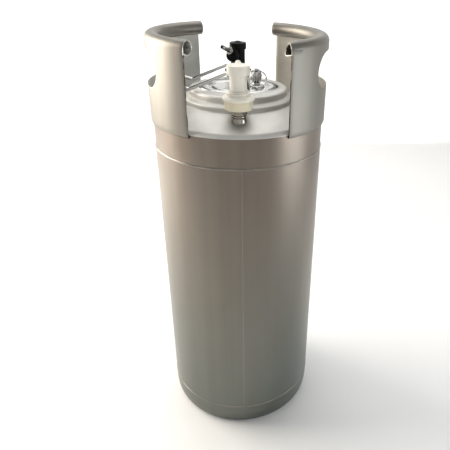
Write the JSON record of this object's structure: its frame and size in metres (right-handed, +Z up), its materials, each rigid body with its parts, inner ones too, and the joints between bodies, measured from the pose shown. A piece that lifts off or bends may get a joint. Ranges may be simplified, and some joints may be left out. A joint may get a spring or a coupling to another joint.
{
  "type": "beer keg",
  "caption": "Short stainless steel soda-style beer keg with rolled side handles, an oval lid held by a bail, a relief valve and push-on gas and liquid connectors.",
  "frame": {"origin": "on the keg's axis, in the plane of the floor that the foot ring stands on", "axes": "+Z up along the keg's axis; -Y is the front, where the gas post stands; the liquid post is at +Y and the handle panels are at -X and +X"},
  "size_m": [0.233, 0.228, 0.5845],
  "materials": {
    "brushed_steel": "brushed and weld-heated stainless steel",
    "polished_steel": "polished stainless steel",
    "spring_steel": "drawn stainless spring wire",
    "white_plastic": "satin off-white acetal",
    "black_plastic": "satin black acetal",
    "rubber": "matt black rubber"
  },
  "bodies": {
    "vessel": {"shell": "brushed_steel", "lid_deck": "brushed_steel", "top_head": "brushed_steel", "top_head_skirt": "brushed_steel", "bottom_head": "brushed_steel", "foot_ring": "brushed_steel", "left_handle": "brushed_steel", "right_handle": "brushed_steel", "gas_bung": "polished_steel", "liquid_bung": "polished_steel", "gas_post": "polished_steel", "liquid_post": "polished_steel", "gas_post_o_ring": "rubber", "liquid_post_o_ring": "rubber", "gas_dip_tube": "polished_steel", "liquid_dip_tube": "polished_steel", "gas_dip_tube_seal": "rubber", "liquid_dip_tube_seal": "rubber", "gas_poppet_spring": "spring_steel", "liquid_poppet_spring": "spring_steel"},
    "lid": {"lid": "polished_steel", "lid_seal": "rubber", "bail_clip_front": "polished_steel", "bail_clip_back": "polished_steel", "relief_valve_body": "brushed_steel", "relief_valve_gasket": "rubber", "relief_valve_nut": "polished_steel", "relief_valve_spring": "spring_steel"},
    "bail": {"bail": "polished_steel", "bail_foot_front": "rubber", "bail_foot_back": "rubber"},
    "relief_stem": {"relief_valve_stem": "polished_steel"},
    "relief_ring": {"relief_valve_ring": "polished_steel"},
    "gas_poppet": {"gas_poppet": "rubber"},
    "gas_connector_core": {"gas_connector_cap_seal": "rubber", "gas_connector_pin_spring": "spring_steel"},
    "gas_connector": {"gas_connector_body": "white_plastic", "gas_connector_cap": "white_plastic", "gas_connector_ball_1": "polished_steel", "gas_connector_ball_2": "polished_steel", "gas_connector_ball_3": "polished_steel", "gas_connector_collar_spring": "spring_steel"},
    "gas_collar": {"gas_connector_collar": "white_plastic"},
    "gas_pin": {"gas_connector_pin": "white_plastic"},
    "liquid_poppet": {"liquid_poppet": "rubber"},
    "liquid_connector_core": {"liquid_connector_cap_seal": "rubber", "liquid_connector_pin_spring": "spring_steel"},
    "liquid_connector": {"liquid_connector_body": "black_plastic", "liquid_connector_cap": "black_plastic", "liquid_connector_ball_1": "polished_steel", "liquid_connector_ball_2": "polished_steel", "liquid_connector_ball_3": "polished_steel", "liquid_connector_collar_spring": "spring_steel", "liquid_connector_barb": "polished_steel"},
    "liquid_collar": {"liquid_connector_collar": "black_plastic"},
    "liquid_pin": {"liquid_connector_pin": "white_plastic"}
  },
  "joints": [
    {"name": "lid_drop", "type": "slide", "parent": "vessel", "child": "lid", "axis": [0, 0, 1], "range_m": [-0.003, 0]},
    {"name": "bail_swing", "type": "hinge", "parent": "lid", "child": "bail", "pos_m": [0.008, 0, 0.5285], "axis": [0, 1, 0], "range_deg": [0, 105]},
    {"name": "relief_lift", "type": "slide", "parent": "lid", "child": "relief_stem", "axis": [0, 0, 1], "range_m": [0, 0.0025], "stiffness_N_per_m": 1500, "deforming": ["relief_valve_spring"]},
    {"name": "relief_ring_swing", "type": "hinge", "parent": "relief_stem", "child": "relief_ring", "pos_m": [0.0238, 0, 0.5355], "axis": [-1, 0, 0], "range_deg": [0, 270]},
    {"name": "gas_poppet_press", "type": "slide", "parent": "vessel", "child": "gas_poppet", "axis": [0, 0, 1], "range_m": [-0.0025, 0], "stiffness_N_per_m": 800, "deforming": ["gas_poppet_spring"]},
    {"name": "gas_connector_lift", "type": "slide", "parent": "vessel", "child": "gas_connector_core", "axis": [0, 0, 1], "range_m": [0, 0.055]},
    {"name": "gas_connector_swivel", "type": "hinge", "parent": "gas_connector_core", "child": "gas_connector", "pos_m": [0, -0.0835, 0.53], "axis": [0, 0, 1], "continuous": true},
    {"name": "gas_collar_pull", "type": "slide", "parent": "gas_connector", "child": "gas_collar", "axis": [0, 0, 1], "range_m": [0, 0.0045], "stiffness_N_per_m": 1200, "deforming": ["gas_connector_collar_spring"]},
    {"name": "gas_pin_lift", "type": "slide", "parent": "gas_connector_core", "child": "gas_pin", "axis": [0, 0, 1], "range_m": [0, 0.0025], "stiffness_N_per_m": 800, "deforming": ["gas_connector_pin_spring"]},
    {"name": "liquid_poppet_press", "type": "slide", "parent": "vessel", "child": "liquid_poppet", "axis": [0, 0, 1], "range_m": [-0.0025, 0], "stiffness_N_per_m": 800, "deforming": ["liquid_poppet_spring"]},
    {"name": "liquid_connector_lift", "type": "slide", "parent": "vessel", "child": "liquid_connector_core", "axis": [0, 0, 1], "range_m": [0, 0.055]},
    {"name": "liquid_connector_swivel", "type": "hinge", "parent": "liquid_connector_core", "child": "liquid_connector", "pos_m": [0, 0.0835, 0.53], "axis": [0, 0, 1], "continuous": true},
    {"name": "liquid_collar_pull", "type": "slide", "parent": "liquid_connector", "child": "liquid_collar", "axis": [0, 0, 1], "range_m": [0, 0.0045], "stiffness_N_per_m": 1200, "deforming": ["liquid_connector_collar_spring"]},
    {"name": "liquid_pin_lift", "type": "slide", "parent": "liquid_connector_core", "child": "liquid_pin", "axis": [0, 0, 1], "range_m": [0, 0.0025], "stiffness_N_per_m": 800, "deforming": ["liquid_connector_pin_spring"]}
  ],
  "couplings": [
    {"joint": "lid_drop", "follows": "bail_swing", "m_per_rad": -0.001635}
  ]
}
